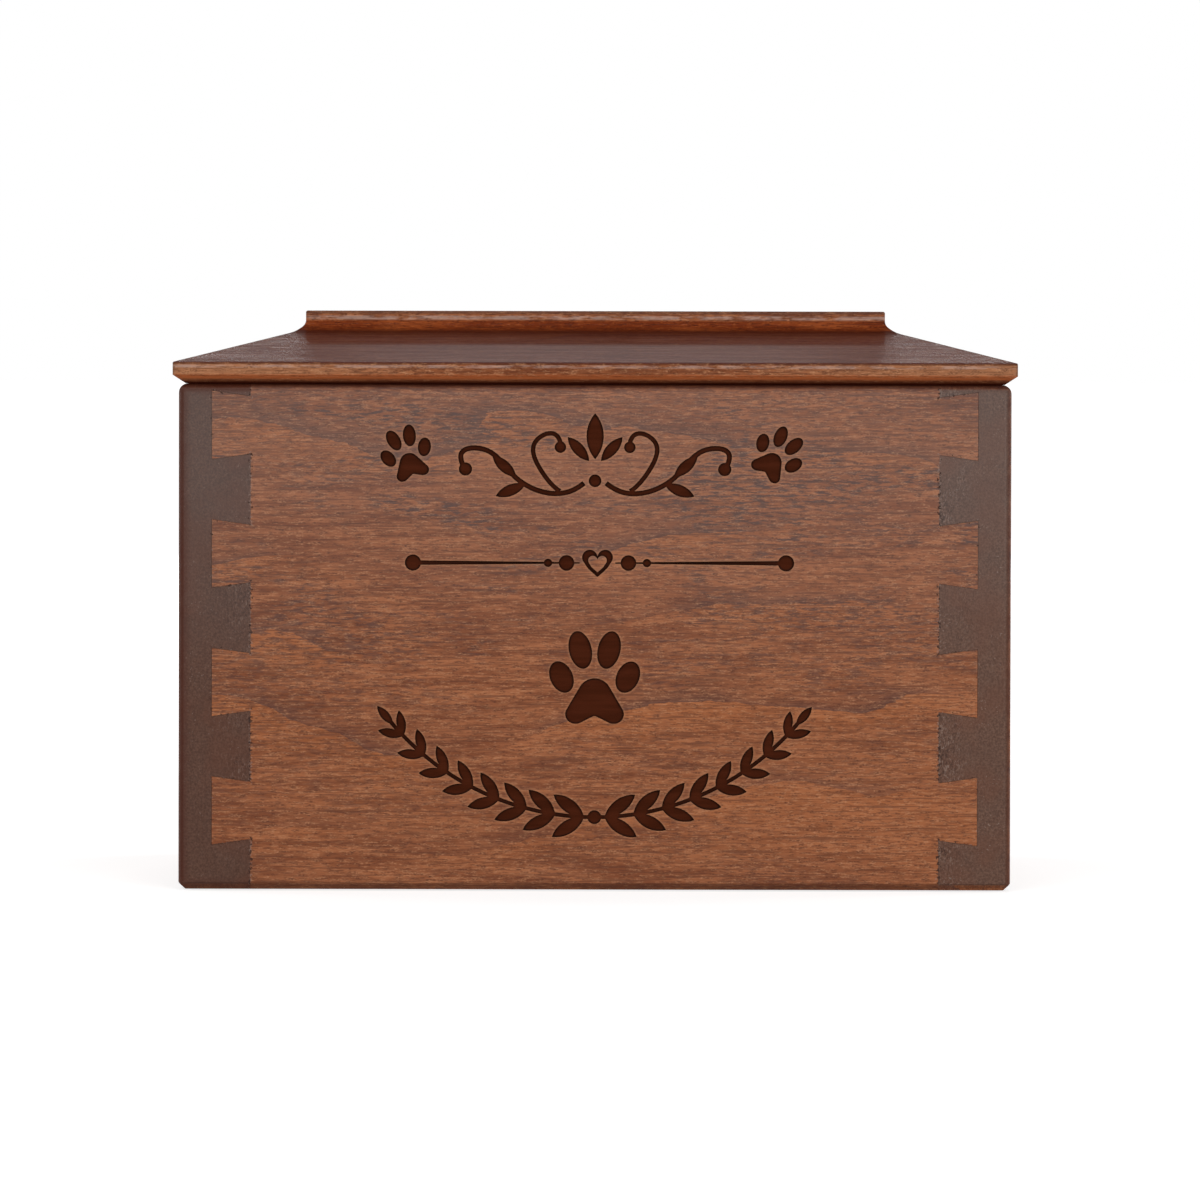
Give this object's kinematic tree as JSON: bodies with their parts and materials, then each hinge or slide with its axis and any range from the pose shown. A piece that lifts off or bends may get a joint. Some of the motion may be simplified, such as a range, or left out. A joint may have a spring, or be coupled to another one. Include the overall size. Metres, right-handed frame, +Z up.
{
  "type": "pet cremation urn",
  "caption": "Small wooden urn: dovetailed box with an engraved front and a loose raised-panel lid that lifts off and is kept in place by battens.",
  "frame": {"origin": "middle of the underside, on the plane the box stands on", "axes": "+X to the right along the front, -Y out of the engraved front, +Z up through the lid"},
  "size_m": [0.146, 0.11, 0.1002],
  "materials": {
    "front_wood": "stained cherry, satin lacquer, burnt engraving",
    "back_wood": "stained cherry, satin lacquer",
    "left_wood": "stained cherry, satin lacquer, dark end grain",
    "right_wood": "stained cherry, satin lacquer, dark end grain",
    "base_wood": "unstained cherry",
    "lid_wood": "stained cherry, satin lacquer",
    "cleat_long_wood": "unstained cherry",
    "cleat_short_wood": "unstained cherry",
    "screw_brass": "plain brass, a little dull"
  },
  "bodies": {
    "box": {"front_panel": "front_wood", "back_panel": "back_wood", "left_side": "left_wood", "right_side": "right_wood", "base_panel": "base_wood"},
    "lid": {"lid_panel": "lid_wood", "lid_cleat_front": "cleat_long_wood", "lid_cleat_back": "cleat_long_wood", "lid_cleat_left": "cleat_short_wood", "lid_cleat_right": "cleat_short_wood", "cleat_screws": "screw_brass"}
  },
  "joints": [
    {"name": "lid_lift", "type": "slide", "parent": "box", "child": "lid", "axis": [0, 0, 1], "range_m": [0, 0.12]}
  ]
}
